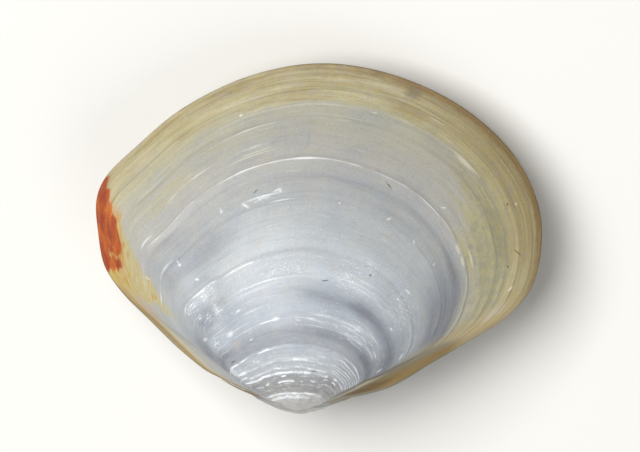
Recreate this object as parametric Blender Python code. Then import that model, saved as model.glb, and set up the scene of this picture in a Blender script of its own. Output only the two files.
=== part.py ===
"""Tellin shell, both valves closed on each other: left_valve, right_valve and the ligament.

A bivalve grows by adding to its edge while it turns about the hinge, so every growth line is the
same outline, smaller and tipped further over.  Each valve is built that way: the margin outline is
scaled by q (0 at the beak, 1 at the rim) about the hinge point and lifted by a logarithmic turn.
The inside is the same form with a smaller outline, so the wall thins from hinge to rim.
The shell lies on its right valve, tilted as its own balance leaves it.
Lengths are in millimetres here and turned to metres when the meshes are made.
X runs to the front end, Y from the beaks to the lower margin, Z out of the left valve.
"""
import math

import bmesh
import bpy
import numpy as np
from mathutils import Matrix, Vector

# ---- driving dimensions -------------------------------------------------------------------
MM = 0.001
# margin of the valve, from the beak round the rear, lower and front edges (mm)
MARGIN = (
    (0.0, 0.0), (-4.05, 1.05), (-7.75, 2.9), (-10.6, 5.1), (-13.4, 7.8), (-16.0, 10.4), (-17.6, 12.8),
    (-18.25, 16.0), (-18.4, 18.9), (-17.6, 20.9), (-14.7, 23.8), (-10.55, 27.2), (-4.25, 30.2),
    (2.1, 31.25), (8.5, 30.2), (15.05, 27.05), (19.55, 22.75), (21.7, 18.3), (22.0, 14.6), (21.1, 10.8),
    (18.85, 8.1), (15.5, 5.95), (12.0, 3.85), (8.25, 1.7), (4.0, 0.65),
)
TURN_START = 0.10          # keeps the turn finite at the beak
TURN_RATE = 1.05           # growth per radian of turn; larger makes a flatter valve
LEAN = 0.03                # how far the umbo leans to the rear, per millimetre of height
VALVE_GAP = 0.32           # clearance left between the two valves
RIM_INSET = 1.1            # width of the flat lip along the lower margin
HINGE_PLATE = 1.3          # thickness of shell under the beak
FLEXURE = 0.6              # bend of the rear end towards the right valve
REAR_STEP = 0.3            # how far the right valve stands proud of the left behind the beaks
# growth checks: place along the growth direction and height of the ledge
CHECKS = ((0.135, 0.06), (0.29, 0.13), (0.415, 0.09), (0.50, 0.13), (0.62, 0.09), (0.72, 0.16),
          (0.84, 0.11), (0.925, 0.09))
LEDGE_RUN = 0.012          # how quickly a ledge drops
RIDGE_AT = (-17.9, 20.0)   # the rear ridge runs from the beak to this point of the margin
RIDGE_HEIGHT = 0.28
RIDGE_WIDTH = 2.6
SPOKES = 60                # points round the margin
INNER_RINGS = (0.16, 0.30, 0.44, 0.58, 0.70, 0.80, 0.89, 0.96)
GROOVE_DEPTH = 0.55        # furrow behind the beaks that the ligament sits in
GROOVE_SPAN = (0.8, 2.0, 7.6, 9.2)     # behind the beak: where it starts, is full, ends
GROOVE_HALF = (0.50, 0.92)     # half width of its floor and of its mouth
LIGAMENT_SPAN = (2.2, 7.4)     # distance behind the beak where the ligament starts and ends
LIGAMENT_CLEAR = 0.365
LIGAMENT_HEIGHT = 0.30
LIGAMENT_WIDTH = 0.56
REST_PITCH = 12.0          # degrees, hinge side up
REST_ROLL = 4.0            # degrees, front end down
REST_FLAT = 0.2            # depth of the small flat worn where the shell rests


def clear_scene():
    """Remove every object that is in the scene."""
    for item in list(bpy.data.objects):
        bpy.data.objects.remove(item, do_unlink=True)


def curve_through(points, steps):
    """Closed centripetal Catmull-Rom curve through the points, steps samples to each span."""
    pts = np.asarray(points, float)
    count = len(pts)
    out = []
    for i in range(count):
        p0, p1, p2, p3 = (pts[(i + k) % count] for k in (-1, 0, 1, 2))
        t1 = np.linalg.norm(p1 - p0) ** 0.5
        t2 = t1 + np.linalg.norm(p2 - p1) ** 0.5
        t3 = t2 + np.linalg.norm(p3 - p2) ** 0.5
        t = np.linspace(t1, t2, steps, endpoint=False)[:, None]
        a1 = (t1 - t) / t1 * p0 + t / t1 * p1
        a2 = (t2 - t) / (t2 - t1) * p1 + (t - t1) / (t2 - t1) * p2
        a3 = (t3 - t) / (t3 - t2) * p2 + (t - t2) / (t3 - t2) * p3
        b1 = (t2 - t) / t2 * a1 + t / t2 * a2
        b2 = (t3 - t) / (t3 - t1) * a2 + (t - t1) / (t3 - t1) * a3
        out.append((t2 - t) / (t2 - t1) * b1 + (t - t1) / (t2 - t1) * b2)
    return np.vstack(out)


def margin_points(count):
    """Margin sampled so that tight bends get more points; the first point is the beak."""
    dense = curve_through(MARGIN, 40)
    step = np.diff(np.vstack([dense, dense[:1]]), axis=0)
    length = np.hypot(step[:, 0], step[:, 1])
    heading = np.unwrap(np.arctan2(step[:, 1], step[:, 0]))
    turn = np.abs(np.gradient(heading))
    turn[:12] = turn[-12:] = 0.0
    at_groove = (dense[:, 0] < -0.5) & (np.hypot(*dense.T) < 9.5)
    weight = np.concatenate([[0.0], np.cumsum(length * (1.0 + 0.9 * at_groove) + 9.0 * turn)])
    place = np.linspace(0.0, weight[-1], count, endpoint=False)
    index = np.arange(len(dense) + 1)
    at = np.interp(place, weight, index)
    looped = np.vstack([dense, dense[:1]])
    return np.stack([np.interp(at, index, looped[:, k]) for k in (0, 1)], axis=1)


def valve_outline(count, side):
    """Margin of one valve: the left one is drawn in a little along the rear hinge side."""
    outline = margin_points(count)
    if side < 0.0:
        return outline
    reach = np.hypot(outline[:, 0], outline[:, 1])
    behind = (outline[:, 0] < 0.0) & (reach < 21.0) & (outline[:, 1] < 15.0)
    inset = REAR_STEP * np.sin(np.pi * np.clip((reach - 6.0) / 15.0, 0.0, 1.0)) ** 2 * behind
    return outline + inset[:, None] * np.array((0.55, 0.83))


def turn_angle(q, rate):
    """Turn about the hinge of the growth line at q, in radians."""
    return np.log((1.0 + TURN_START) / (q + TURN_START)) / rate


def growth_surface(outline, q, rate):
    """Surface of growth lines: rows are growth lines, columns run round the outline."""
    angle = turn_angle(q, rate)[:, None]
    x = q[:, None] * outline[None, :, 0]
    reach = q[:, None] * outline[None, :, 1]
    y, z = reach * np.cos(angle), reach * np.sin(angle)
    return np.stack([x - LEAN * z, y, z], axis=-1)


def ring_places():
    """Growth positions of the outer rings: two at each check, the rest spaced between them."""
    rings = [0.03, 0.06, 0.095]
    for place, _height in CHECKS:
        rings += [place, place + LEDGE_RUN]
    rings += [0.2, 0.245, 0.35, 0.455, 0.56, 0.67, 0.78, 0.885, 0.965, 1.0]
    return np.array(sorted(rings))


def ledge_height(q):
    """Height of the growth ledges: a slow rise up to each check, then a sharp drop."""
    height = np.zeros_like(q)
    start = 0.0
    for place, top in CHECKS:
        rise = (q - (start + 0.55 * (place - start))) / (0.45 * (place - start))
        step = np.where(q <= place + 1e-9, np.clip(rise, 0.0, 1.0),
                        np.clip(1.0 - (q - place) / LEDGE_RUN, 0.0, 1.0))
        height = np.maximum(height, top * step * (q > start))
        start = place
    return height


def relief(outline, q):
    """Height added along the normal: ledges and the rear ridge, fading at the hinge and the rim."""
    span = np.hypot(outline[:, 0], outline[:, 1])
    away = np.clip((span - 4.0) / 12.0, 0.0, 1.0) ** 1.5
    off = np.hypot(outline[:, 0] - RIDGE_AT[0], outline[:, 1] - RIDGE_AT[1])
    ridge = RIDGE_HEIGHT * np.exp(-(off / RIDGE_WIDTH) ** 2)
    height = ledge_height(q)[:, None] * away[None, :] + ridge[None, :] * q[:, None] ** 0.7
    return height * (1.0 - q[:, None] ** 12)


def raise_relief(grid, height):
    """Move the grid along its own normals by the relief height."""
    across, along = np.gradient(grid, axis=0), np.gradient(grid, axis=1)
    normal = np.cross(across, along)
    size = np.linalg.norm(normal, axis=-1, keepdims=True)
    normal = normal / np.maximum(size, 1e-9)
    normal *= np.sign(np.sum(normal[..., 2]))
    return grid + normal * height[..., None]


def ligament_groove(points):
    """Draw the surface in behind the beak, close to the other valve, for the ligament."""
    reach = np.hypot(points[..., 0], points[..., 1])
    along = np.interp(reach, GROOVE_SPAN, (0.0, 1.0, 1.0, 0.0)) * (points[..., 0] < 0.0)
    near = np.interp(points[..., 2], GROOVE_HALF, (1.0, 0.0))
    depth = GROOVE_DEPTH * (along * near) ** 2 * (3.0 - 2.0 * along * near)
    return points + depth[..., None] * np.array((0.36, 0.93, 0.0))


def outer_grid(outline):
    """Outside of a valve as rows of growth lines, in millimetres."""
    q = ring_places()
    grid = raise_relief(growth_surface(outline, q, TURN_RATE), relief(outline, q))
    return ligament_groove(grid)


def inner_grid(outline):
    """Inside of a valve: the same form with the outline drawn in from the margin."""
    low, high = outline.min(axis=0), outline.max(axis=0)
    scale_x = 1.0 - 2.0 * RIM_INSET / (high[0] - low[0])
    scale_y = (high[1] - RIM_INSET - HINGE_PLATE) / high[1]
    inner = outline * (scale_x, scale_y)
    grid = growth_surface(inner, np.array(INNER_RINGS + (1.0,)), TURN_RATE * 1.02)
    shift_x = 0.5 * (low[0] + high[0]) * (1.0 - scale_x)
    return grid + (shift_x, HINGE_PLATE, 0.0)


def disc_mesh(bm, grid, tip):
    """Faces of one growth surface: its growth lines all meet in the tip. Returns the rim loop."""
    rows, cols = grid.shape[:2]
    apex = bm.verts.new(Vector(tip))
    net = [[bm.verts.new(Vector(grid[r, c])) for c in range(1, cols)] for r in range(rows)]
    for c in range(cols - 2):
        bm.faces.new((apex, net[0][c], net[0][c + 1]))
    for r in range(rows - 1):
        bm.faces.new((apex, net[r + 1][0], net[r][0]))
        bm.faces.new((apex, net[r][-1], net[r + 1][-1]))
        for c in range(cols - 2):
            bm.faces.new((net[r][c], net[r + 1][c], net[r + 1][c + 1], net[r][c + 1]))
    return [apex] + net[-1]


def bend_and_mirror(points, side):
    """Lift a valve off the middle plane, mirror it if it is the right one, bend its rear end."""
    out = points.copy()
    out[..., 2] = side * (out[..., 2] + 0.5 * VALVE_GAP)
    rear = np.clip((-points[..., 0] - 5.0) / 13.2, 0.0, None)
    out[..., 2] -= FLEXURE * rear ** 2
    return out


def make_valve(name, side):
    """One valve as a closed body: outside, flat lip and inside."""
    outline = valve_outline(SPOKES, side)
    outer = bend_and_mirror(outer_grid(outline), side)
    inner = bend_and_mirror(inner_grid(outline), side)
    bm = bmesh.new()
    loop_out = disc_mesh(bm, outer, bend_and_mirror(np.zeros(3), side))
    tip = np.array((inner[:, 0, 0].mean(), HINGE_PLATE, 0.0))
    loop_in = disc_mesh(bm, inner, bend_and_mirror(tip, side))
    count = len(loop_out)
    for i in range(count):
        j = (i + 1) % count
        bm.faces.new((loop_out[i], loop_out[j], loop_in[j], loop_in[i]))
    return finish_mesh(name, bm)


def make_ligament():
    """Small horny strip behind the beaks, over the joint between the valves."""
    dense = curve_through(MARGIN, 40)
    path = dense[:len(dense) // 4]
    span = np.hypot(path[:, 0], path[:, 1])
    places = np.linspace(LIGAMENT_SPAN[0], LIGAMENT_SPAN[1], 13)
    centre = np.stack([np.interp(places, span, path[:, k]) for k in (0, 1)], axis=1)
    along = np.gradient(centre, axis=0)
    along /= np.linalg.norm(along, axis=1, keepdims=True)
    outward = np.stack([along[:, 1], -along[:, 0]], axis=1)
    outward *= np.where(outward[:, 1:] > 0.0, -1.0, 1.0)
    taper = np.sin(np.pi * (np.arange(13) + 0.5) / 13.0) ** 0.5
    around = np.linspace(0.0, 2.0 * np.pi, 12, endpoint=False)
    bm = bmesh.new()
    rows = []
    for i in range(13):
        half = 0.5 * LIGAMENT_HEIGHT * taper[i]
        lift = LIGAMENT_CLEAR - GROOVE_DEPTH + half * (1.0 + np.sin(around))
        across = 0.5 * LIGAMENT_WIDTH * taper[i] * np.cos(around)
        spot = centre[i] + lift[:, None] * outward[i]
        ring = np.column_stack([spot, across])
        rows.append([bm.verts.new(Vector(p)) for p in ring])
    for r in range(12):
        for k in range(12):
            n = (k + 1) % 12
            bm.faces.new((rows[r][k], rows[r][n], rows[r + 1][n], rows[r + 1][k]))
    bm.faces.new(rows[0])
    bm.faces.new(rows[-1])
    return finish_mesh("ligament", bm)


def finish_mesh(name, bm):
    """Scale to metres, tilt into the resting pose and make a smooth-shaded object."""
    tilt = (Matrix.Rotation(math.radians(REST_ROLL), 4, "Y")
            @ Matrix.Rotation(math.radians(-REST_PITCH), 4, "X") @ Matrix.Scale(MM, 4))
    bmesh.ops.transform(bm, matrix=tilt, verts=bm.verts)
    bmesh.ops.recalc_face_normals(bm, faces=bm.faces)
    for face in bm.faces:
        face.smooth = True
    mesh = bpy.data.meshes.new(name)
    bm.to_mesh(mesh)
    bm.free()
    item = bpy.data.objects.new(name, mesh)
    bpy.context.scene.collection.objects.link(item)
    return item


def coords(item):
    """Vertex positions of an object as an array."""
    flat = np.empty(len(item.data.vertices) * 3)
    item.data.vertices.foreach_get("co", flat)
    return flat.reshape(-1, 3)


def wear_rest_flat(item):
    """Flatten the lowest spot of the valve the shell lies on."""
    points = coords(item)
    floor = points[:, 2].min() + REST_FLAT * MM
    print("rest flat corners", int((points[:, 2] <= floor).sum()))
    points[:, 2] = np.maximum(points[:, 2], floor)
    item.data.vertices.foreach_set("co", points.ravel())
    item.data.update()


def place_on_origin(items):
    """Put the middle of the bottom of the bounding box on the origin."""
    every = np.vstack([coords(item) for item in items])
    low, high = every.min(axis=0), every.max(axis=0)
    shift = np.array((-(low[0] + high[0]) / 2.0, -(low[1] + high[1]) / 2.0, -low[2]))
    for item in items:
        item.data.vertices.foreach_set("co", (coords(item) + shift).ravel())
        item.data.update()
    print("size mm", np.round((high - low) / MM, 3), "shift mm", np.round(shift / MM, 4))


def give_material(item, name, colour, roughness):
    """Plain surface of one colour for a piece."""
    mat = bpy.data.materials.new(name)
    mat.use_nodes = True
    shader = mat.node_tree.nodes["Principled BSDF"]
    shader.inputs["Base Color"].default_value = (*colour, 1.0)
    shader.inputs["Roughness"].default_value = roughness
    shader.inputs["Metallic"].default_value = 0.0
    item.data.materials.append(mat)


def build():
    """Make the three pieces, settle them and colour them."""
    clear_scene()
    left = make_valve("left_valve", 1.0)
    right = make_valve("right_valve", -1.0)
    ligament = make_ligament()
    wear_rest_flat(right)
    place_on_origin([left, right, ligament])
    give_material(left, "left_valve_shell", (0.52, 0.50, 0.46), 0.38)
    give_material(right, "right_valve_shell", (0.50, 0.48, 0.43), 0.40)
    give_material(ligament, "ligament_horn", (0.10, 0.055, 0.025), 0.45)


build()
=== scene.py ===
# %% [markdown]
# # A tellin shell
# A tellin is a thin, oval sea shell of two valves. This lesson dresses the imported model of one,
# shut and lying on its right valve, with the small ligament that held it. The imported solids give
# the place and the size; the finished pieces stand for them.

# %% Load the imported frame
import math

import bpy
import numpy as np
from mathutils import Matrix, Vector


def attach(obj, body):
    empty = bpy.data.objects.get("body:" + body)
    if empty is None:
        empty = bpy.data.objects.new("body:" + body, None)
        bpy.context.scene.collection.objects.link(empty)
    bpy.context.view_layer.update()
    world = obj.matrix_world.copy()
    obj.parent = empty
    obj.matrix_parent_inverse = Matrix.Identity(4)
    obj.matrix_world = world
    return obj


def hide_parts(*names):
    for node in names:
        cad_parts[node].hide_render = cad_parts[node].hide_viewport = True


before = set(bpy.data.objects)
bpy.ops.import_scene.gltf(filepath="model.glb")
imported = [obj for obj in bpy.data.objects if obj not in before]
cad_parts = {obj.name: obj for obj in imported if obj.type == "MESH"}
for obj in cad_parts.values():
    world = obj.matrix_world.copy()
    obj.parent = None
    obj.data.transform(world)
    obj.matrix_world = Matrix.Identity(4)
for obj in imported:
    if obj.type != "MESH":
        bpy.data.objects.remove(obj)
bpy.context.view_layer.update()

print("packed nodes:", sorted(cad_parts))

# %% [markdown]
# ## Fades, bells and grain
# A shell has edges that fade, bands that swell and fall off, and unevenness everywhere. An
# S-curve, a bell curve and a smooth random height give all three, on whole arrays.

# %% Fades, bells and grain
GRAIN_GRID = 256  # random values each way before grain repeats


def fade(x, low, high):
    """0 below low, 1 above high, and an even S between them (also with low above high)."""
    t = np.clip((x - low) / (high - low), 0, 1)
    return t * t * (3 - 2 * t)


def span(x, start, full, still, end):
    """Fade in from start to full, and out again from still to end."""
    return fade(x, start, full) * fade(x, end, still)


def bell(x, centre, width):
    """Bell curve: 1 at the centre, about a third one width away."""
    return np.exp(-((x - centre) / width) ** 2)


def unit(vectors):
    """The same directions at length 1."""
    return vectors / np.maximum(np.linalg.norm(vectors, axis=-1, keepdims=True), 1e-12)


def grain(x, y, seed):
    """Smooth height from -1 to 1: random values on whole numbers, blended between them."""
    table = np.random.default_rng(seed).uniform(-1, 1, (GRAIN_GRID, GRAIN_GRID))
    x, y = np.broadcast_arrays(x, y)
    ix, iy = np.floor(x).astype(int), np.floor(y).astype(int)
    fx, fy = fade(x - ix, 0, 1), fade(y - iy, 0, 1)
    row, next_row, col, next_col = (k % GRAIN_GRID for k in (ix, ix + 1, iy, iy + 1))
    low = table[row, col] * (1 - fx) + table[next_row, col] * fx
    high = table[row, next_col] * (1 - fx) + table[next_row, next_col] * fx
    return low * (1 - fy) + high * fy


print("bell at one width: %.2f" % bell(1, 0, 1))

# %% [markdown]
# ## The margin
# A bivalve only adds to its edge, and turns a little about the hinge as it does. So every growth
# line is the same outline, smaller and tipped further over. It could be sculpted, but a formula
# keeps each line where growth puts it. The numbers are those of the solid model.

# %% The margin as a smooth closed curve
MM = .001
HEIGHT = 31.2  # mm from beak to lower edge
MARGIN = (  # outline of the valve in mm, from the beak round the rear, lower and front edges
    (0, 0), (-4.05, 1.05), (-7.75, 2.9), (-10.6, 5.1), (-13.4, 7.8), (-16, 10.4), (-17.6, 12.8),
    (-18.25, 16), (-18.4, 18.9), (-17.6, 20.9), (-14.7, 23.8), (-10.55, 27.2), (-4.25, 30.2), (2.1, 31.25),
    (8.5, 30.2), (15.05, 27.05), (19.55, 22.75), (21.7, 18.3), (22, 14.6), (21.1, 10.8), (18.85, 8.1),
    (15.5, 5.95), (12, 3.85), (8.25, 1.7), (4, .65),
)


def curve_through(points, steps):
    """Centripetal Catmull-Rom: each span is blended from the four points round it."""
    p0, p1, p2, p3 = (np.roll(np.array(points), k, axis=0)[:, None, :] for k in (1, 0, -1, -2))
    t1, t2, t3 = np.cumsum([np.linalg.norm(b - a, axis=2, keepdims=True) ** .5
                            for a, b in ((p0, p1), (p1, p2), (p2, p3))], axis=0)
    t = t1 + (t2 - t1) * np.linspace(0, 1, steps, endpoint=False)[None, :, None]

    def blend(a, b, low, high):
        return ((high - t) * a + (t - low) * b) / (high - low)

    middle = blend(p1, p2, t1, t2)
    return blend(blend(blend(p0, p1, 0, t1), middle, 0, t2),
                 blend(middle, blend(p2, p3, t2, t3), t1, t3), t1, t2).reshape(-1, 2)


def margin_at(share):
    """Point of the margin at a share of its length, 0 at the beak, rising round the rear."""
    dense = curve_through(MARGIN, 60)
    dense = np.vstack([dense, dense[:1]])
    length = np.concatenate([[0], np.cumsum(np.hypot(*np.diff(dense, axis=0).T))])
    place = np.asarray(share) * length[-1]
    return np.stack([np.interp(place, length, dense[:, k]) for k in (0, 1)], axis=-1)


OUTLINE_LENGTH = float(np.hypot(*np.diff(margin_at(np.linspace(0, 1, 2000)), axis=0).T).sum())
REAR_STEP, STEP_FROM, STEP_RUN = .3, 6, 15  # mm that the right valve stands proud, and where


def valve_margin(share, side):
    """Margin of one valve; the left one is drawn in a little behind the beaks."""
    line = margin_at(share)
    if side < 0:
        return line
    reach = np.hypot(line[:, 0], line[:, 1])
    inset = REAR_STEP * np.sin(np.pi * np.clip((reach - STEP_FROM) / STEP_RUN, 0, 1)) ** 2
    return line + (inset * (line[:, 0] < 0))[:, None] * (.55, .83)


print("margin is %.1f mm round" % OUTLINE_LENGTH)

# %% [markdown]
# ## The growth surface
# Two parameters make the valve: q runs along growth, 0 at the beak and 1 at the rim, and s runs
# round the margin. A point of the margin (x, y) at stage q lies at (q x, q y cos a, q y sin a),
# where a is the turn still to go, log((1 + start) / (q + start)) / rate.

# %% The growth surface
TURN_START, TURN_RATE, LEAN = .1, 1.05, .03


def growth_surface(line, q, rate=TURN_RATE):
    """(q x - lean z, q y cos a, q y sin a) for margin points (x, y) and turn a of q; narrower in
    the very youngest shell."""
    turn = np.log((1 + TURN_START) / (q + TURN_START))[:, None] / rate
    reach = q[:, None] * line[None, :, 1]
    y, z = reach * np.cos(turn), reach * np.sin(turn)
    narrow = 1 - (.24 - .11 * np.tanh(line[:, 0] / 6))[None, :] * fade(q, .22, .06)[:, None]
    return np.stack([q[:, None] * line[None, :, 0] * narrow - LEAN * z, y, z], axis=-1)


STEPS = np.linspace(0, 1, 200)
print("a valve is %.1f mm deep" % growth_surface(margin_at(STEPS), STEPS)[..., 2].max())

# %% [markdown]
# The outline was a little different when the valve was young: front and rear reached further.
# So a spot has an age, which is q bent at both ends, and all that follows growth reads it.

# %% The age of the shell at a spot
def growth_age(s, q):
    """q + front bend - rear bend + small ripples near the rear ridge."""
    inner = 1 - fade(q, .74, 1.02)
    front = .0215 * fade(s, .6, .74) + .045 * fade(s, .73, .82)
    young = np.interp(q, (.28, .36, .42, .62), (.6, .3, .35, 1))
    front = front * fade(s, 1, .9) * young * inner
    rear = .048 * fade(s, .295, .17) + .05 * fade(s, .215, .13) * fade(q, .6, .3)
    rear = rear * fade(s, 0, .08) * (.3 + .7 * inner)
    ripple = .003 * bell(s, .295, .02) * fade(q, .56, .7) * inner
    ripple = (ripple - .01 * fade(s, .35, .315) * bell(q, .51, .06)
              + .01 * bell(s, .288, .028) * bell(q, .73, .05))
    return q + front - rear + ripple


print("age at the front, half grown: %.3f" % growth_age(.75, .5))

# %% [markdown]
# ## Relief
# Growth stops in winter and leaves ledges; between them are fine lines, and near the beak raised
# ridges. All are heights in mm along the normal, less where growth lines crowd. A bump in the
# material could stand in for the finest, but real height holds up from any side.

# %% Winter ledges
CHECKS = (  # age and height in mm
    (.135, .04), (.28, .05), (.398, .03), (.4985, .05), (.62, .05), (.7245, .12), (.8365, .05), (.87, .03),
    (.917, .04), (.966, .05),
)
LEDGE_RUN = .006  # age over which a ledge drops


def ledges(age):
    """Slow rise up to each growth check, then a sharp drop."""
    height = np.zeros_like(age)
    start = 0
    for place, top in CHECKS:
        rise = np.clip((age - (start + .55 * (place - start))) / (.45 * (place - start)), 0, 1)
        drop = np.clip(1 - (age - place) / LEDGE_RUN, 0, 1)
        height = np.maximum(height, top * np.where(age <= place, rise * rise, drop) * (age > start))
        start = place
    return height


def wavy(age, s, seed):
    """Age with the small unevenness that no growth line is without."""
    wander = .003 * grain(s * 22, age * 26, seed) + .0012 * grain(s * 95, age * 60, seed + 1)
    return age + wander * (.5 + .5 * fade(age, .4, .2))


print(len(CHECKS), "winter ledges, up to %.2f mm" % max(top for _, top in CHECKS))

# %% [markdown]
# The ridges of the young shell are worn, so each stands out only in runs. A table gives its age
# and half width, and the shares of the margin between which it shows.

# %% Ridges of the young shell
YOUNG_RIDGES = {  # age: half width, then start share, end share and level of each run
    .2515: (.003, ((.245, .295, .95), (.295, .375, .6), (.375, .6, .42))),
    .2445: (.0026, ((.29, .475, .42), (.476, .526, 1), (.526, .62, .45), (.66, .72, .5))),
    .2275: (.003, ((.288, .309, .9), (.31, .4, .55), (.4, .43, .7), (.43, .6, .4),
              (.485, .5, .7), (.525, .542, .8), (.56, .6, .6), (.62, .74, .5))),
    .2135: (.0045, ((.245, .32, .85), (.32, .385, 1), (.385, .4, .7), (.4, .476, 1),
              (.476, .515, .6), (.515, .543, 1), (.543, .6, .5), (.6, .612, .8),
              (.64, .66, .8), (.66, .72, .5))),
    .2035: (.0022, ((.425, .445, .8), (.5, .56, .25), (.6, .62, .6), (.64, .665, .7))),
    .1885: (.0038, ((.28, .32, .5), (.335, .36, .9), (.403, .42, 1), (.42, .48, .9),
              (.505, .517, .7), (.55, .57, .5), (.6, .72, .4))),
    .1775: (.0028, ((.29, .31, .5), (.4, .5, .3), (.585, .61, .9), (.64, .68, .6))),
    .1615: (.0026, ((.3, .6, .3), (.44, .5, .5), (.6, .72, .4))),
    .1475: (.0052, ((.21, .29, .5), (.29, .43, .8), (.463, .495, 1), (.43, .6, .7),
              (.545, .585, 1), (.585, .66, .4))),
    .1335: (.005, ((.28, .42, .75), (.42, .58, .55))),
}
RIDGE_TOP = .045  # mm
RUN_REACH = .0075  # age to either side that belongs to a line


def line_show(s, age, lines, blend):
    """How fully the nearest line of a table shows at each spot."""
    show = np.zeros_like(age)
    for at, (_, runs) in lines.items():
        for start, end, level in runs:
            run = span(s, start - blend, start + blend, end - blend, end + blend)
            show = np.maximum(show, level * run * (np.abs(age - at) < RUN_REACH))
    return show


def young_ridges(line_age, s):
    """Raised ridges near the beak, each a bell over age, high where they show."""
    height = np.zeros_like(line_age)
    for place, (half, _) in YOUNG_RIDGES.items():
        height = np.maximum(height, bell(line_age, place, half))
    return height * (.25 + .75 * line_show(s, line_age, YOUNG_RIDGES, .004))


print(len(YOUNG_RIDGES), "young ridges")

# %% Fine ribs and fine growth lines
RIB_STEP = .0092  # age between the fine ribs of the young shell
RIB_TOP = .008  # mm
# age between growth lines and their height in mm, from coarse to fine
FINE_LINES = ((.022, .02), (.0105, .014), (.0052, .009))


def ribs(line_age, s, side=.5):
    """Fine ribs, an uneven raised cosine over age, or with side -0.5 the hollows between them."""
    drift = 2.2 * grain(line_age * 60, s * 22, 5)
    wave = .5 + side * np.cos(2 * np.pi * (line_age - .2145) / RIB_STEP + drift)
    show = .22 + .78 * span(s, .59, .65, .74, .765)
    return wave ** 1.5 * show * span(line_age, .2, .235, .278, .29)


def fine_lines(age, s, seed):
    """Fine growth lines: layers of grain stretched along the growth lines."""
    out = np.zeros(np.broadcast(age, s).shape)
    for k, (step, height) in enumerate(FINE_LINES):
        out = out + height * grain(age / step, s * 14, seed + 10 + k)
    strength = .35 + .4 * fade(age, .7, .8) + .5 * fade(age, .85, .9)
    return out * strength


print("ribs are %.2f mm apart" % (RIB_STEP * HEIGHT))

# %% [markdown]
# In front of the beaks both valves fold in to a narrow flank with a crease along its edge. It is
# measured from the hinge line, so that the crease and, later, its brown skin share one edge.

# %% The front flank, and all relief together
# mm in front of the beak, and width of the flank there
FLANK_WIDTH = ((0, 3, 3.9, 6.4, 9, 13, 16.4, 19),
               (-.4, 0, .24, .9, 1.22, .86, .6, .2))
CREASE_DEPTH = .05  # mm


def front_flank(base):
    """Distance from the front hinge line in mm, width of the flank there, and how fully it shows."""
    line = margin_at(np.linspace(.79, 1, 200))[::-1]
    x, y = base[..., 0], base[..., 1] + .12 * base[..., 2]
    away = .88 * (y - np.interp(x, line[:, 0], line[:, 1]))
    return away, np.interp(x, *FLANK_WIDTH), span(x, 1.2, 3, 13, 19)


RIDGE_AT, RIDGE_HEIGHT, RIDGE_WIDTH = (-17.9, 20), .28, 2.6  # the rear ridge, in mm


def relief(line, base, s, q, age, seed):
    """Height in mm at every spot of the grid: what fades with crowding, and what does not."""
    off = np.hypot(line[:, 0] - RIDGE_AT[0], line[:, 1] - RIDGE_AT[1])
    ridge = RIDGE_HEIGHT * np.exp(-(off / RIDGE_WIDTH) ** 2)[None, :] * q[:, None] ** .7
    s2 = np.broadcast_to(s[None, :], age.shape)
    line_age = wavy(age, s2, seed)
    height = ledges(line_age) + RIDGE_TOP * young_ridges(line_age, s2) + fine_lines(age, s2, seed)
    height = height + RIB_TOP * ribs(line_age, s2)
    height = height + .03 * grain(s2 * 26, age * 9, seed + 5)
    away, width, shown = front_flank(base)
    crease = -CREASE_DEPTH * bell(away - width, 0, .2) * shown
    return height, ridge * (1 - q[:, None] ** 12) + crease


print("the flank is up to %.2f mm wide" % max(FLANK_WIDTH[1]))

# %% [markdown]
# ## The grid
# The ridged young shell needs closer rows and the bends of the margin closer columns. With its
# points spent there, a valve needs only about 90,000 faces.

# %% Rows and columns of the grid
ROWS = ((.03, 14), (.1, 110), (.29, 150), (.97, 8))  # growth place, and rows from it to the next
COLUMNS, BEND_WEIGHT = 300, 40


def grid_places():
    """Growth places q and shares s, closer where the form needs it."""
    q = [0, .01, .02]
    for (start, count), (end, _) in zip(ROWS, ROWS[1:] + ((1, 0),)):
        q.extend(np.linspace(start, end, count, endpoint=False))
    step = np.linspace(0, 1, 1201)
    line = margin_at(step)
    heading = np.unwrap(np.arctan2(*np.gradient(line, axis=0).T[::-1]))
    weight = 1 + BEND_WEIGHT * np.abs(np.gradient(heading))
    weight[:12] = weight[-12:] = 1
    total = np.concatenate([[0], np.cumsum(.5 * (weight[1:] + weight[:-1]))])
    return np.array(q + [1]), np.interp(np.linspace(0, total[-1], COLUMNS + 1)[:-1], total, step)


print("grid of %d rows and %d columns" % tuple(len(places) for places in grid_places()))

# %% The outside with its relief
GROOVE_DEPTH = .16  # mm, furrow of the ligament
# mm behind the beak where the furrow starts, is full and ends; half its width, floor and mouth
GROOVE_SPAN, GROOVE_HALF = (.8, 2, 6.6, 9.2), (.25, .62)
CROWDED = 24  # mm per unit of growth, below which relief gets lower


def ligament_groove(points):
    """Draw the surface in behind the beak, close to the other valve, for the ligament."""
    reach = np.hypot(points[..., 0], points[..., 1])
    full = (np.interp(reach, GROOVE_SPAN, (0, 1, 1, 0)) * (points[..., 0] < 0)
            * np.interp(points[..., 2], GROOVE_HALF, (1, 0)))
    return points + GROOVE_DEPTH * fade(full, 0, 1)[..., None] * (.36, .93, 0)


def outside(line, s, q, seed):
    """Surface + normal x relief, the plain surface, and the age; the normal is the cross product
    of the two directions of the grid."""
    base = growth_surface(line, q)
    age = growth_age(s[None, :], q[:, None])
    dq, ds = np.gradient(base, axis=0), np.gradient(base, axis=1)
    normal = unit(np.cross(dq, ds))
    normal *= np.sign(normal[..., 2].sum())
    spacing = np.linalg.norm(np.cross(dq / np.gradient(q)[:, None, None], unit(ds)), axis=-1)
    height, form = relief(line, base, s, q, age, seed)
    height = height * np.clip(spacing / CROWDED, 0, 1) * (1 - .7 * q[:, None] ** 60)
    return ligament_groove(base + normal * (height + form)[..., None]), base, age


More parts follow.
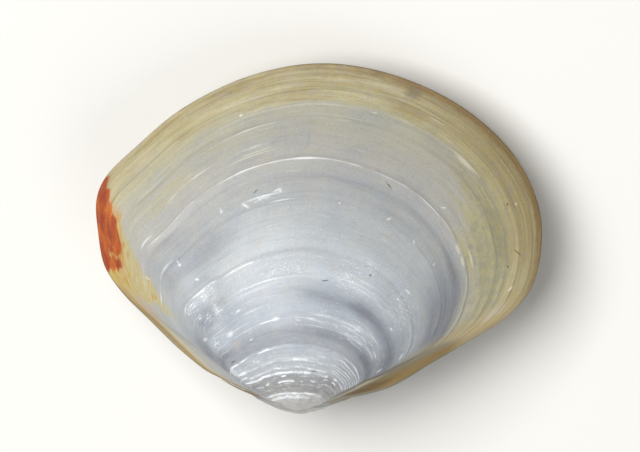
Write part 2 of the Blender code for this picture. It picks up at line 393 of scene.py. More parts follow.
print("furrow %.2f mm deep" % GROOVE_DEPTH)

# %% [markdown]
# ## One closed body
# Rows go out over the outside, round the lip and back over the inside, as one grid. All growth
# lines meet at the hinge, so that column is one point. A sheet with a Solidify modifier would
# have an even wall, and a real one thins to its rim.

# %% Lay the shell down, and rows of a valve
FLEXURE, BEND_FROM, BEND_RUN = .6, 5, 13.2  # mm that the rear bends towards the right, and where
REST_PITCH, REST_ROLL = 12, 4  # degrees, as the shell lies
SHIFT = (-1.5241, -14.8436, 11.2866)  # mm, from the hinge point to the frame's origin
REST_TURN = (Matrix.Rotation(math.radians(REST_ROLL), 3, "Y")
             @ Matrix.Rotation(math.radians(-REST_PITCH), 3, "X"))


def settle(points, side):
    """Bend the rear, mirror the right valve, tilt and set down: turn times point, plus a shift."""
    out = points.copy()
    rear = np.clip((-points[..., 0] - BEND_FROM) / BEND_RUN, 0, None)
    out[..., 2] = side * out[..., 2] - FLEXURE * rear ** 2
    out = out @ np.array(REST_TURN).T + SHIFT
    out[..., 2] = np.maximum(out[..., 2], 0)
    return out * MM


VALVE_GAP, SHUT_GAP = .32, .08  # mm between the solids, and between the dressed rims
RIM_INSET, HINGE_PLATE = 1.1, 1.3  # mm, width of the lip and shell under the beak
INNER_ROWS = (1, .97, .92, .85, .76, .66, .55, .44, .33, .22, .12, 0)
LIP_ROWS = 3


def valve_rows(side, seed):
    """Outside, lip, and inside, which is the same growth surface on a smaller margin."""
    q, s = grid_places()
    line = valve_margin(s, side)
    outer, base, age = outside(line, s, q, seed)
    close = .5 * (SHUT_GAP + (VALVE_GAP - SHUT_GAP) * (1 - q ** 40))
    outer[..., 2] += close[:, None]
    low, high = line.min(axis=0), line.max(axis=0)
    scale = 1 - 2 * RIM_INSET / (high[0] - low[0]), (high[1] - RIM_INSET - HINGE_PLATE) / high[1]
    inner = growth_surface(line * scale, np.array(INNER_ROWS), TURN_RATE * 1.02)
    inner += (.5 * (low[0] + high[0]) * (1 - scale[0]), HINGE_PLATE, .5 * VALVE_GAP)
    rim, lip_in = outer[-1], inner[0].copy()
    lip_in[:, 2] = .5 * SHUT_GAP
    round_rim = rim + (lip_in - rim) * .06
    round_rim[:, 2] = .5 * SHUT_GAP
    rim[:, 2] += .03
    lip = np.stack([round_rim, rim + (lip_in - rim) * .5 - (0, 0, .03), lip_in])
    return q, s, age, base, np.concatenate([outer, lip, inner])


print("the hinge point lies %.1f mm up" % (settle(np.zeros((1, 3)), 1)[0, 2] / MM))

# %% Faces and mesh
def closed_faces(rows, cols, outer_rows, inner_start):
    """Corner numbers of every face; corners that fall on a pole are one and the same point."""
    index = np.arange(rows * cols).reshape(rows, cols)
    index[:outer_rows, 0] = index[0] = 0
    index[inner_start:, 0] = index[-1] = index[-1, 0]
    wrap = np.concatenate([index, index[:, :1]], axis=1)
    quads = np.stack([wrap[:-1, :-1], wrap[1:, :-1], wrap[1:, 1:], wrap[:-1, 1:]], axis=-1)
    return quads.reshape(-1, 4)


def make_mesh(name, points, quads, facts):
    """Put points, faces and named point attributes into a mesh; repeated corners are dropped."""
    used, new = np.unique(quads, return_inverse=True)
    quads = new.reshape(-1, 4)
    keep = quads != np.roll(quads, 1, axis=1)
    keep &= ~((quads == np.roll(quads, 2, axis=1)) & (np.arange(4) > 1))
    sides = keep.sum(axis=1)
    keep[sides < 3] = False
    sides = sides[sides >= 3]
    loops = quads[keep]
    mesh = bpy.data.meshes.new(name)
    mesh.vertices.add(len(used))
    mesh.vertices.foreach_set("co", points.reshape(-1, 3)[used].ravel().astype(np.float32))
    mesh.loops.add(len(loops))
    mesh.loops.foreach_set("vertex_index", loops.astype(np.int32))
    mesh.polygons.add(len(sides))
    start = np.concatenate([[0], np.cumsum(sides)[:-1]])
    for field, values in (("loop_start", start), ("loop_total", sides)):
        mesh.polygons.foreach_set(field, values.astype(np.int32))
    mesh.polygons.foreach_set("use_smooth", np.ones(len(sides), bool))
    mesh.update(calc_edges=True)
    for key, values in facts.items():
        kind, field = ("FLOAT_VECTOR", "vector") if values.ndim == 3 else ("FLOAT", "value")
        values = values.reshape(points.shape[0] * points.shape[1], -1)[used].ravel()
        mesh.attributes.new(key, kind, "POINT").data.foreach_set(field, values.astype(np.float32))
    mesh.validate()
    item = bpy.data.objects.new(name, mesh)
    bpy.context.scene.collection.objects.link(item)
    print(name, len(mesh.vertices), "points,", len(mesh.polygons), "faces")
    return item


# %% [markdown]
# ## Where the finishes lie
# Skin, rust, chalk and dark bands each have a place, a number from 0 to 1 at each point, worked
# out from age and share. The material breaks its edge up with finer grain. Painted maps would
# do too, but a formula needs no unwrapping and stays sharp.

# %% Lines with a colour of their own
WHITE_LINES = {  # chalky growth lines; age: half width, then the runs, as for the ridges
    .2305: (.0035, ((.17, .285, .75),)),
    .2605: (.0035, ((.18, .29, .8), (.29, .46, .62), (.46, .6, .45), (.548, .583, .8))),
    .281: (.004, ((.15, .29, .9), (.29, .43, .55), (.43, .62, .3), (.63, .745, .75))),
    .3475: (.003, ((.275, .53, .5),)),
    .4975: (.0036, ((.245, .333, .95), (.343, .415, .85), (.415, .66, .26))),
    .632: (.0085, ((.215, .295, .58),)),
    .7235: (.0034, ((.19, .26, .6), (.262, .35, .68), (.35, .545, .85), (.555, .76, .5))),
    .7795: (.0034, ((.31, .445, .8), (.22, .31, .35))),
    .831: (.0034, ((.36, .52, .5),)),
    .849: (.007, ((.28, .4, .26),)),
}
# dark growth lines: age, half width and level; the one at .5045, at the foot of the ledge at .4985, is
# painted shade
DARK_LINES = (
    (.1545, .0026, .55), (.171, .0028, .6), (.183, .0024, .5), (.289, .003, .45), (.5045, .0035, .35),
    (.8375, .0042, .6), (.918, .0032, .6), (.944, .0028, .5), (.966, .0042, .8), (.984, .003, .6),
)
print(len(WHITE_LINES) + len(DARK_LINES), "coloured lines")

# %% [markdown]
# The skin wears off from the beak outwards. Left are straw at the rim, a stain and a film inside
# that, an olive veil towards the front flank, and one streak worn bare.

# %% Places of the skin
def skin_places(s, age, q):
    """Skin, stain, front skin, bare streak, olive veil, and rim skin with painted shade, as fades and bells
    multiplied.
    """
    rear = fade(s, .46, .38)
    skin = (1 - rear) * fade(age, .862, .897) + rear * .95 * fade(age, .835, .955)
    skin = skin * (1 - .35 * bell(s, .3, .04) * fade(q, .985, .93))
    stain_from = .7 - .05 * fade(s, .7, .76)
    stain = (.3 * bell(s, .33, .07) * fade(age, .735, .79)
             + .74 * span(s, .605, .71, .79, .83) * fade(age, stain_from, .735) * fade(age, .94, .9)
             + .6 * bell(s, .212, .018) * span(q, .54, .62, .7, .76) + .3 * fade(age, .74, .8))
    bare = bell(s, .796 - .1 * np.abs(q - .87), .014) * span(q, .8, .86, .905, .94)
    front = fade(s, .5, .66) * fade(age, .86, .93) * (1 - .2 * fade(s, .71, .77))
    # the rim's own brown skin, made darker towards the front as painted shade where the rim turns away from
    # the lamp
    rim_skin_and_shade = (fade(q, .955, .998) * span(s, .19, .23, .86, .99)
                * (.28 + .72 * fade(s, .42, .6)) * (1 - .25 * fade(s, .71, .77)))
    return {"skin": skin, "stain": stain, "front_skin": front, "bare": bare, "rim_skin_and_shade": rim_skin_and_shade,
            "olive": fade(s, .762, .82) * fade(q, .22, .42)}


print("skin at the lower rim: %.2f" % skin_places(.5, 1, 1)["skin"])

# %% [markdown]
# The blunt rear end has lain in iron-rich mud: it has a rust patch with a bright notch, and an
# ochre tongue that narrows towards the beaks.

# %% Places of the rear end and the front flank
# growth places, and the ochre tongue there: middle and half width in shares, and level
OCHRE = ((.55, .62, .66, .7, .75, .8, .86, 1),
         (.214, .2155, .215, .22, .219, .221, .226, .226),
         (.005, .008, .01, .015, .018, .029, .036, .04),
         (.3, .6, .75, .9, .95, .9, 1, 1))


def rear_places(s, q, small):
    """Rust, ochre, the orange haze round the rust, the skin behind the beaks and the seam."""
    back = 1 - q
    edge = s + .003 * small
    low = .86 + .8 * np.abs(edge - .239)
    rust = (fade(edge, .192 + .157 * back, .2 + .157 * back)
            * fade(edge, .286 - .19 * back, .276 - .19 * back) * fade(q, low - .012, low + .014))
    gap = 1 - .7 * bell(edge, .2135 + .1 * back, .0036) * fade(q, .965, .94)
    middle, half, level = (np.interp(q, OCHRE[0], row) for row in OCHRE[1:])
    rear_skin = (fade(s, .235, .185) * fade(q, .86, .97) * (.45 + .55 * fade(s, .12, .17))
                 + .4 * span(s, .135, .175, .195, .225) * span(q, .66, .82, .88, .97))
    return {"rust": rust * gap,
            "ochre": level * fade(np.abs(edge - middle), half + .01, half - .008),
            "haze": fade(np.abs(edge - .2365), .052, .02) * fade(q, .81, .875),
            "rear_skin": rear_skin,
            "bruise": bell(s, .566, .009) * bell(q, .968, .026),
            "seam": fade(q, .975, .992) * span(s, .045, .07, .17, .2)}


def flank_places(base):
    """The flank and all that lies on it, with painted shade in its crease, and the distance from its hinge
    line in mm.
    """
    away, width, shown = front_flank(base)
    x = base[..., 0]
    across = away / np.maximum(width, .25)
    ends = (.3 + .7 * fade(x, 2.6, 5.4)) * fade(x, 17, 12)
    return {"flank": fade(away - width, .55, -.18) * shown * ends,
            "flank_tone": np.clip(across, 0, 1.5) / 1.5,
            # painted shade along the crease
            "crease": bell(away - width, .14, .12) * span(x, 1.6, 5, 8, 15),
            "streak_on": bell(away - width, -.04, .11) * shown * bell(x, 6.2, 2.2),
            "orange": bell(x, 6, 3) * bell(across, .45, .34) * shown,
            "edge_strip": bell(away, .06, .14) * fade(x, 1.6, 4) * (.45 + .55 * fade(x, 10.5, 6))}, away


print("the ochre tongue is up to %.1f mm wide" % (2 * max(OCHRE[2]) * OUTLINE_LENGTH))

# %% [markdown]
# Some years grew darker or paler, chalk clings to some bands, and a frost of white threads is
# left near the beak. Such soft places are rows of a table. Two numbers make a bell, centre and
# width; four make a span: where it starts, is full, is still full, and ends.

# %% Table of soft places
ALL = (-2, -1, 2, 3)
SOFT = {  # rows of level, shares and ages
    "dark": (
        (.6, (.285, .024), (.7, .02)), (.55, (.268, .038), (.205, .04)), (.42, (.615, .028), (.408, .02)),
        (.55, (.3, .032), (.518, .018)), (.3, (.285, .025), (.44, .04)), (.58, (.257, .032), (.33, .026)),
        (.42, (.787, .022), (.835, .045)), (.25, (.725, .02), (.285, .02)), (.4, (.275, .035), (.62, .06)),
        (.35, (.33, .05), (.6, .05)), (.5, (.29, .05), (.435, .035)), (.3, (.315, .04), (.665, .03)),
        (.25, (.37, .04), (.59, .04)), (.35, (.31, .06), (.57, .04)), (.35, (.45, .06), (.42, .02)),
        (.35, (.21, .03), (.66, .05)), (.5, (.26, .05), (.14, .03)), (.5, (.4, .54, .6, .74), (.401, .017)),
        (.42, (.58, .68, 2, 3), (.402, .024)), (.3375, ALL, (.316, .015)),
        (.4125, (.42, .6, 2, 3), (.316, .015)), (.48, (.4, .5, 2, 3), (.68, .012)),
        (.3, (.46, .58, 2, 3), (.645, .018)), (.28, (.63, .69, 2, 3), (.345, .035)),
        (.3, (.7, .77, 2, 3), (.385, .05)), (.36, (.67, .73, .785, .815), (.69, .03)),
        (.55, (.65, .74, .77, .8), (.6, .05)), (.38, (.62, .78, 2, 3), (.28, .4, .7, .8)),
        (.45, (.6, .66, .68, .72), (.14, .17, .21, .24)), (.25, (-2, -1, .215, .245), (.39, .05)),
        (.26, (-2, -1, .215, .245), (-2, -1, .42, .47)), (.42, (-2, -1, .2, .28), (-2, -1, .5, .62)),
        (.6, (.29, .05), (-2, -1, .1, .135)),
    ),
    "chalk": (
        (.24, (.262, .03), (.362, .022)), (.1, (.33, .09), (.415, .035)), (.32, (.64, .12), (.362, .026)),
        (.75, (.42, .05), (.64, .012)), (.18, (.42, .16), (.365, .022)), (1.4, (.245, .018), (.262, .02)),
        (.62, (.45, .12), (.138, .016)), (.22, (.225, .26, .3, .37), (.405, .45, .495, .505)),
        (.25, (.32, .42, 2, 3), (.42, .46, .53, .61)), (.12, (.5, .58, .66, .7), (.435, .018)),
        (.12, ALL, (.2, .22, .285, .297)), (.16, ALL, (-2, -1, .55, .62)),
    ),
    "pale": (
        (.25, (.44, .1), (.54, .05)), (.4, (.6, .11), (.515, .035)), (.2, (.35, .05), (.5, .03)),
        (.15, (.34, .1), (.36, .03)), (.5, (.45, .52, .62, .67), (.452, .03)),
    ),
    "tan": ((1, (.314, .014), (.326, .02)), (.7, (.433, .018), (.322, .012))),
    "film": ((.5, (.56, .66, .72, .76), (.86, .045)), (.34, (.67, .73, .77, .8), (.7, .03))),
}


def part(x, numbers):
    """A bell for two numbers and a span for four."""
    return (bell if len(numbers) == 2 else span)(x, *numbers)


def soft(key, s, age):
    """Sum over the rows of level x part over share x part over age."""
    return sum(level * part(s, shares) * part(age, ages) for level, shares, ages in SOFT[key])


print("darkest at the front: %.2f" % soft("dark", .72, STEPS).max())

# %% Tones, and all places together
def tone_places(s, age, patch, clump):
    """Chalk, dark and pale bands, tan blotches, film, frost, threads and lines."""
    near = bell(s, .295, .045) * span(age, .39, .43, .505, .53)
    chalk = soft("chalk", s, age) * np.clip(.8 + .6 * patch - .9 * clump * near, .1, 1.7)
    dark = soft("dark", s, age) + .5 * np.clip(clump - .15, 0, 1) * near
    frost = (span(age, .29, .33, .44, .53) * (.76 + .24 * bell(s, .63, .07))
             * span(s, .2, .25, .7, .78) * (1 - .75 * bell(age, .405, .022) * fade(s, .42, .52)))
    threads = (.3 + .7 * fade(age, .62, .45) - .55 * bell(age, .37, .11)) * fade(age, .88, .8)
    lines = fade(age, .5, .66) * (.7 + .3 * fade(age, .78, .84)) * (1 - .5 * span(s, .47, .62, .69, .77))
    return {"chalk": chalk, "dark": dark, "pale": soft("pale", s, age), "tan": soft("tan", s, age),
            "film": soft("film", s, age), "threads": threads, "frost": frost, "lines": lines}


def finish_places(s, age, q, base, seed):
    """Named cover, 0 to 1, of each finish at every spot."""
    patch = grain(s * 30, age * 22, seed + 20)
    small = grain(s * 110, age * 90, seed + 21)
    clump = grain(s * 84, age * 60, seed + 22)
    flank, away = flank_places(base)
    facts = {**skin_places(s, age, q), **rear_places(s, q, small), **flank,
             **tone_places(s, age, patch, clump), "white_show": line_show(s, age, WHITE_LINES, .012),
             "young_show": line_show(s, age, YOUNG_RIDGES, .004)}
    return {key: np.broadcast_to(value, age.shape) for key, value in facts.items()}, away


print("patches of chalk are about %.0f mm long" % (OUTLINE_LENGTH / 30))

# %% [markdown]
# ## Both valves
# The right valve is the mirror image of the left, with grain of its own. Where the volume that
# the faces enclose comes out negative, they point inwards and are turned.

# %% Build both valves
def outward(points, quads):
    """Faces turned outwards, and the volume in mm3: the sum of the corner products over 6."""
    a, b, c, d = (points.reshape(-1, 3)[quads[:, k]] for k in range(4))
    volume = (np.einsum("ij,ij->i", a, np.cross(b, c)).sum()
              + np.einsum("ij,ij->i", a, np.cross(c, d)).sum()) / 6
    return (quads[:, ::-1] if volume < 0 else quads), abs(volume) / MM ** 3


def make_valve(name, side, seed):
    """One dressed valve: grid, relief, closed faces and the facts its material reads."""
    q, s, age, base, rows = valve_rows(side, seed)
    count, cols = rows.shape[:2]
    outer_rows = len(q)
    more = np.minimum(np.arange(count), outer_rows - 1)
    full_s = np.broadcast_to(s[None, :], (count, cols))
    full_age = age[more]
    full_q = np.broadcast_to(q[more][:, None], (count, cols))
    facts, away = finish_places(full_s, full_age, full_q, base[more], seed)
    facts["inside"] = np.where(np.arange(count)[:, None] >= outer_rows + LIP_ROWS, 1, 0 * full_s)
    facts["age"], facts["line_age"] = full_age, wavy(full_age, full_s, seed)
    facts["rib"] = ribs(facts["line_age"], full_s)
    # hollows between the fine ribs, darkened in the material as painted shade
    facts["rib_gap_shade"] = ribs(facts["line_age"], full_s, -.5)
    facts["grown_mm"] = np.stack([full_s * OUTLINE_LENGTH, full_age * HEIGHT, 0 * full_s], axis=-1)
    facts["flank_mm"] = np.stack([base[more][..., 0], away, 0 * full_s], axis=-1)
    points = settle(rows, side)
    quads, volume = outward(points, closed_faces(count, cols, outer_rows, outer_rows + LIP_ROWS))
    print("%s holds %.0f mm3 of shell" % (name, volume))
    return make_mesh(name, points, quads, facts)


left = make_valve("left_valve_shell", 1, 7)
right = make_valve("right_valve_shell", -1, 41)

# %% [markdown]
# ## Materials
# Shell is aragonite in fine layers: satin, pale, and blue-grey where worn clean. A thin skin,
# the periostracum, covers the newest growth in straw and olive. The material is a chain of
# plain layers, each laid over the last where its place says.

# %% Helpers for materials
def linear(code):
    """An sRGB hex colour as the linear colour that shaders mix in."""
    c = np.array([int(code[i:i + 2], 16) for i in (1, 3, 5)]) / 255
    return (*np.where(c <= .04045, c / 12.92, ((c + .055) / 1.055) ** 2.4), 1)


def add(tree, kind, sockets=None, out=0, stops=(), **settings):
    """Add a node with its settings, values and links, and hand back one output."""
    node = tree.nodes.new("ShaderNode" + kind)
    for key, value in settings.items():
        setattr(node, key, value)
    for key, value in (sockets or {}).items():
        if isinstance(value, bpy.types.NodeSocket):
            tree.links.new(value, node.inputs[key])
        else:
            node.inputs[key].default_value = linear(value) if isinstance(value, str) else value
    for i, (place, level) in enumerate(stops):
        stop = node.color_ramp.elements[i] if i < 2 else node.color_ramp.elements.new(place)
        stop.position = place
        stop.color = linear(level) if isinstance(level, str) else (level, level, level, 1)
    return node.outputs[out]


print("mid grey is %.3f in linear light" % linear("#808080")[0])

# %% [markdown]
# The ground colour follows age alone: chalky beak, grey young shell, blue-grey middle years and
# a warm rim. One colour ramp holds it, and noise stretched along growth is its grain.

# %% Ground colours and grains
ZONES = (
    (0, "#aeaba2"), (.08, "#bcb9b2"), (.105, "#b7b5b0"), (.14, "#b9bab7"), (.158, "#93928f"),
    (.205, "#949596"), (.222, "#adb1b5"), (.272, "#acb2b8"), (.292, "#92969d"), (.325, "#969aa0"),
    (.345, "#a1a7ae"), (.375, "#a3a9b0"), (.395, "#9aa0a7"), (.43, "#a0a6ab"), (.5, "#a4a9ac"),
    (.56, "#a7abac"), (.61, "#a5a8a9"), (.65, "#a2a4a3"), (.7, "#a4a4a0"), (.725, "#a8a6a0"),
    (.78, "#a6a49b"), (.835, "#a8a596"), (.87, "#aba896"), (.91, "#b0a98c"), (.95, "#ad9f7c"),
    (.975, "#a59062"), (1, "#a8875a"),
)
# length and width of one grain in mm, along and across growth, slant, detail and shift; growth
# threads are 0.05 to 0.1 mm apart on such a shell, and drawn as coarse as 0.1 mm so that they show
GRAINS = {
    "streak": (9, .42, 0, 4, 0), "hair": (14, .2, 0, 2, 3), "radial": (.26, 5, 0, 3, 7),
    "fleck": (1.2, .17, 4, 2, 11), "speck": (.3, .16, 0, 2, 13), "cloud": (5, 3, 0, 3, 17),
    "blotch": (1.4, .5, 0, 3, 19), "thread": (2.6, .12, 0, 2, 23), "dusk": (3, .16, 0, 3, 29),
    "piece": (6, .9, 0, 2, 37), "wire": (18, .18, 0, 2, 53), "grit": (1, .2, -4, 2, 59),
    "dash": (1.6, .12, -3, 2, 61), "broken": (4.5, .3, 0, 3, 41), "mottle": (1, .8, 30, 3, 43),
    "comb": (6, .16, 0, 4, 47), "tone": (6, .8, 0, 4, 67), "patch": (3, 1.6, 0, 3, 71),
    "silk": (7, .26, 0, 3, 73), "band": (26, .5, 0, 3, 79),
}
TINTS = {  # colours that follow a grain or a place
    "skin": ("tone", ((.28, "#8d805a"), (.42, "#a59a70"), (.54, "#b2a882"), (.68, "#bdb694"))),
    "olive": ("age", ((.45, "#7d7048"), (.64, "#97854e"), (.8, "#b8a272"), (.92, "#bba678"))),
    "rust": ("patch", ((.36, "#8a3000"), (.47, "#9c4202"), (.55, "#ac5206"), (.66, "#c0701a"))),
    # the flank ramp is its brown skin; its darkest tones, at the hinge line, are painted shade where the
    # surface turns away
    "flank": ("flank_tone", ((0, "#7a7056"), (.06, "#84734f"), (.15, "#90763f"), (.32, "#90723a"),
                             (.48, "#877244"), (.6, "#837858"), (.72, "#858070"))),
}
print(len(ZONES), "ground colours and", len(GRAINS), "grains")

# %% [markdown]
# Every finish is one row: its tint, its place, the grain that breaks it up, and how far it
# covers. The rows run as the shell got them: bands and threads as it grew, then stain, skin and
# rust, and last the chalk and frost of wear.

# %% Layers from the ground up
# tint, place, grain and how much of it, where place plus grain starts and is full, cover
LAYERS = (
    # bands and clouds of the ground
    ("#5c606b", "dark", "dusk", .35, .1, 1.1, .75), ("#dfe6ec", "pale", "cloud", .3, .1, 1.1, .85),
    ("#7c8088", None, "cloud", 1, -.12, .22, .16), ("#b6a996", None, "patch", 1, .02, .14, .12),
    ("#99a2b3", None, "cloud", 1, -.05, .2, .14), ("#b1a69b", "tan", "blotch", .7, .2, .9, .38),
    # growth threads of the worn shell and broader lines of the newer shell
    ("#eef1f3", "threads", "silk", 2.6, 1, 1.5, .32), ("#74777c", "threads", "band", 2.2, .98, 1.45, .26),
    ("#eef1f3", "threads", "thread", 2.6, 1.1, 1.6, .22), ("#dedfd6", "lines", "band", 1.8, .98, 1.4, .4),
    ("#77776f", "lines", "wire", 1.8, .98, 1.4, .34), ("#8d8f96", "lines", "silk", 1.8, .98, 1.4, .3),
    # straw stain inside the skin
    ("#b3ab80", "stain", "band", 2, .4, 1.1, .5), ("#aea163", "stain", "silk", 2.2, .5, 1.1, .52),
    ("#7c8280", "stain", "mottle", 2, .7, 1.2, .42),
    # skin near the rim, with darker hairs and pale wires
    ("skin", "skin", "patch", 1.4, .25, .95, .84), ("#9d938b", "skin", "blotch", 2.2, 1.02, 1.5, .45),
    ("#b59a5c", "skin", "blotch", -2.4, 1.04, 1.5, .4), ("#a39a96", "skin", "mottle", 2.4, 1.06, 1.5, .4),
    ("#857347", "skin", "hair", 2.4, 1.04, 1.52, .46),
    ("#87753f", "front_skin", "tone", 1.2, .28, 1.15, .52),
    ("#d2cba4", "skin", "wire", 2.4, 1.08, 1.52, .38), ("#7f8684", "front_skin", "mottle", 2, 1, 1.5, .35),
    ("#69552c", "front_skin", "wire", 2.6, 1.03, 1.46, .6),
    # skin on the rim itself, darker towards the front as painted shade where the rim turns away, and skin
    # behind the beaks
    ("#7b6033", "rim_skin_and_shade", "blotch", .9, .15, .95, .8), ("#bd8a48", "rim_skin_and_shade", "silk", 2.4, .95, 1.4, .6),
    ("#4f3c1e", "rim_skin_and_shade", "hair", 2.4, 1, 1.45, .6), ("#b08e54", "rear_skin", "dusk", 1.2, 0, .85, .85),
    # ochre and rust at the rear end
    ("#b6a55e", "ochre", "silk", 2.3, .18, 1.2, .74), ("#ab8722", "ochre", "blotch", 2.6, .86, 1.36, .7),
    ("#d0cdb8", "ochre", "wire", 2.4, 1.1, 1.5, .35), ("#b98334", "haze", "blotch", 1.8, .4, 1.2, .75),
    ("rust", "rust", "mottle", .8, .1, .78, 1),
    # film and olive veil at the front, and the streak worn bare
    ("#83795a", "film", "dusk", .9, .05, .9, .7), ("olive", "olive", "dusk", .8, .05, .9, .7),
    ("#665a36", "olive", "hair", 2.4, .9, 1.45, .42), ("#d2c8a2", "olive", "wire", 2.4, .95, 1.5, .36),
    ("#c2bbad", "bare", "dusk", 1.6, .35, 1.1, .46),
    # front flank, with painted shade at its outer edge and in its crease
    ("flank", "flank", "comb", .5, .15, .85, 1), ("#66502a", "orange", "comb", 1, .15, .85, .85),
    ("#a8925c", "flank", "comb", 2, 1.05, 1.45, .45), ("#54462b", "flank", "dusk", 2.2, 1.02, 1.5, .5),
    ("#8a836c", "edge_strip", "comb", .5, .25, .8, .7), ("#b5ad92", "streak_on", "comb", .6, .2, .9, .8),
    # painted shade in the crease
    ("#46381f", "crease", "comb", .6, .1, .95, .7),
    # the seam, the lines and ribs with colours of their own, and painted shade between the ribs
    ("#75683e", "seam", "blotch", .3, .2, .8, .65), ("#f1f3f1", "white_line", "piece", 1.4, .2, .85, .85),
    ("#f0f3f4", "young_line", "broken", .8, .05, .62, .85), ("#e4e8ea", "rib", "broken", 2.2, .4, 1.1, .48),
    # painted shade in the hollows between the ribs
    ("#65666a", "rib_gap_shade", "broken", 1.8, .35, 1.05, .42),
    ("#564c36", "dark_line", "piece", .8, .2, .9, .6),
    # frost and chalk of wear, specks all over, and one bruise at the rim
    ("#e2e7ea", "frost", "wire", 2.4, .88, 1.4, .55), ("#e8edf0", "frost", "dusk", 2.6, 1, 1.5, .5),
    ("#6f747b", "frost", "band", 2.4, .95, 1.45, .3), ("#e4eaee", "chalk", "fleck", 2.2, .48, 1.05, .45),
    ("#f0f3f5", "chalk", "dash", 2.4, .7, 1.15, .55), ("#eef2f4", "chalk", "speck", 2.4, .62, 1.05, .6),
    ("#666a70", "chalk", "grit", 2.4, .7, 1.15, .35), ("#edf1f4", None, "speck", 1, .17, .27, .3),
    ("#776553", "bruise", "blotch", .8, .2, .9, .6),
)
DULL_PLACES = ("skin", "young_line", "chalk", "rust")
# darkening all over: grain, where it starts and is full, and how much of the light it takes
SHADES = (
    ("streak", .55, .25, .1), ("radial", .55, .3, .025), ("speck", .58, .3, .09), ("mottle", .52, .3, .05),
)
print(len(LAYERS), "layers over the ground")

# %% [markdown]
# Chips, scratches and specks are small ellipses in three colours: chalk where the shell is
# chipped, cream where its skin flaked, and dark dirt.

# %% Tables of marks
# share, growth place, half length and half width in mm, slant in degrees
WHITE_MARKS = (
    (.413, .883, .16, .11, 0), (.372, .651, .18, .09, 0), (.372, .657, .05, .18, 0),
    (.405, .637, .42, .1, -50), (.43, .6445, 1.5, .08, -2), (.448, .651, .35, .09, 18),
    (.452, .648, .14, .15, 0), (.453, .624, .9, .06, 0), (.291, .606, .13, .14, 0),
    (.291, .617, .04, .26, 0), (.303, .541, .22, .1, -55), (.243, .424, .55, .14, -30),
    (.352, .402, .24, .09, 0), (.311, .364, .36, .24, 0), (.434, .35, .26, .13, 0),
    (.359, .321, .18, .07, 0), (.771, .448, .3, .2, -45), (.768, .356, .12, .35, 0),
    (.695, .422, .2, .09, 20), (.71, .343, .45, .07, 0), (.597, .63, .22, .07, 50),
    (.53, .622, .08, .09, 0), (.64, .62, .14, .09, -30), (.68, .622, .05, .13, 0),
    (.675, .519, .28, .08, 18), (.647, .741, .28, .05, 45), (.27, .742, .75, .1, 0),
    (.341, .2665, .12, .06, 0), (.2785, .236, .16, .09, 0),
)
CREAM_MARKS = (
    (.698, .93, .13, .16, 0), (.54, .872, .3, .1, 0), (.637, .8765, 1.75, .13, 0),
    (.637, .872, 1.1, .19, 0), (.697, .7105, 1.4, .1, 0), (.69, .705, .5, .22, 0),
    (.705, .704, .48, .24, 0), (.77, .895, .2, .34, 0), (.233, .726, .12, .5, 10),
    (.665, .714, 1.2, .08, 0), (.711, .7335, .85, .14, 0), (.595, .922, .8, .07, 0),
    (.424, .7645, 1.7, .065, 0), (.418, .758, 2.4, .07, 0),
)
DARK_MARKS = (
    (.606, .488, .09, .11, 0), (.533, .439, .38, .06, 20), (.581, .704, .42, .06, -25),
    (.693, .904, .13, .13, 0), (.738, .905, .85, .05, 46), (.745, .867, .3, .05, 50),
    (.421, .663, .25, .05, 30), (.278, .2975, .3, .07, 0), (.55, .2195, .35, .05, 0),
)
# marks, tint, where the edge starts and is full, cover
MARK_KINDS = ((CREAM_MARKS, "#cdc8b0", 1.3, .5, .7), (WHITE_MARKS, "#e6eaec", 1.8, .1, .66),
              (DARK_MARKS, "#3a3528", 1.3, .5, .75))
print(sum(len(kind[0]) for kind in MARK_KINDS), "marks")

# %% Lines and marks as nodes
def line_stops(lines):
    """Stops of a ramp that is black but for a narrow peak at each line."""
    stops = [(0, 0)]
    for place, half, *level in sorted(lines):
        stops += [(place - half, 0), (place, level[0] if level else 1), (place + half, 0)]
    return stops


def line_nodes(tree, line_age):
    """The three sorts of coloured lines: a peak at each age, times how far the line shows."""
    tables = {"white_line": [(age, half) for age, (half, _) in WHITE_LINES.items()],
              "young_line": [(age, half) for age, (half, _) in YOUNG_RIDGES.items()],
              "dark_line": DARK_LINES}
    places = {key: add(tree, "ValToRGB", {"Fac": line_age}, stops=line_stops(lines))
              for key, lines in tables.items()}
    for key in ("white", "young"):
        shown = add(tree, "Attribute", out=2, attribute_name=key + "_show")
        key += "_line"
        places[key] = add(tree, "Math", {0: places[key], 1: shown}, operation="MULTIPLY")
    return places


def marked(tree, place, marks):
    """0 in the middle of the closest mark, 1 on its edge. Slanted in mm, an ellipse has other
    axes on the growth grid, so they come from its two sides."""
    near = None
    for share, q, length, width, slant in marks:
        at = (share * OUTLINE_LENGTH, float(growth_age(share, q)) * HEIGHT, 0)
        c, d = math.cos(math.radians(slant)), math.sin(math.radians(slant))
        axes, size, _ = np.linalg.svd(np.array(((c * length / q, -d * width / q),
                                                (.8 * d * length, .8 * c * width))))
        spot = add(tree, "Mapping",
                   {"Vector": place, "Location": at, "Rotation": (0, 0, math.atan2(axes[1, 0], axes[0, 0])),
                    "Scale": (size[0], size[1], 1)}, vector_type="TEXTURE")
        size = add(tree, "VectorMath", {0: spot}, out=1, operation="LENGTH")
        near = size if near is None else add(tree, "Math", {0: near, 1: size}, operation="MINIMUM")
    return near


print(len(line_stops(DARK_LINES)), "stops for", len(DARK_LINES), "lines; a ramp holds 32")

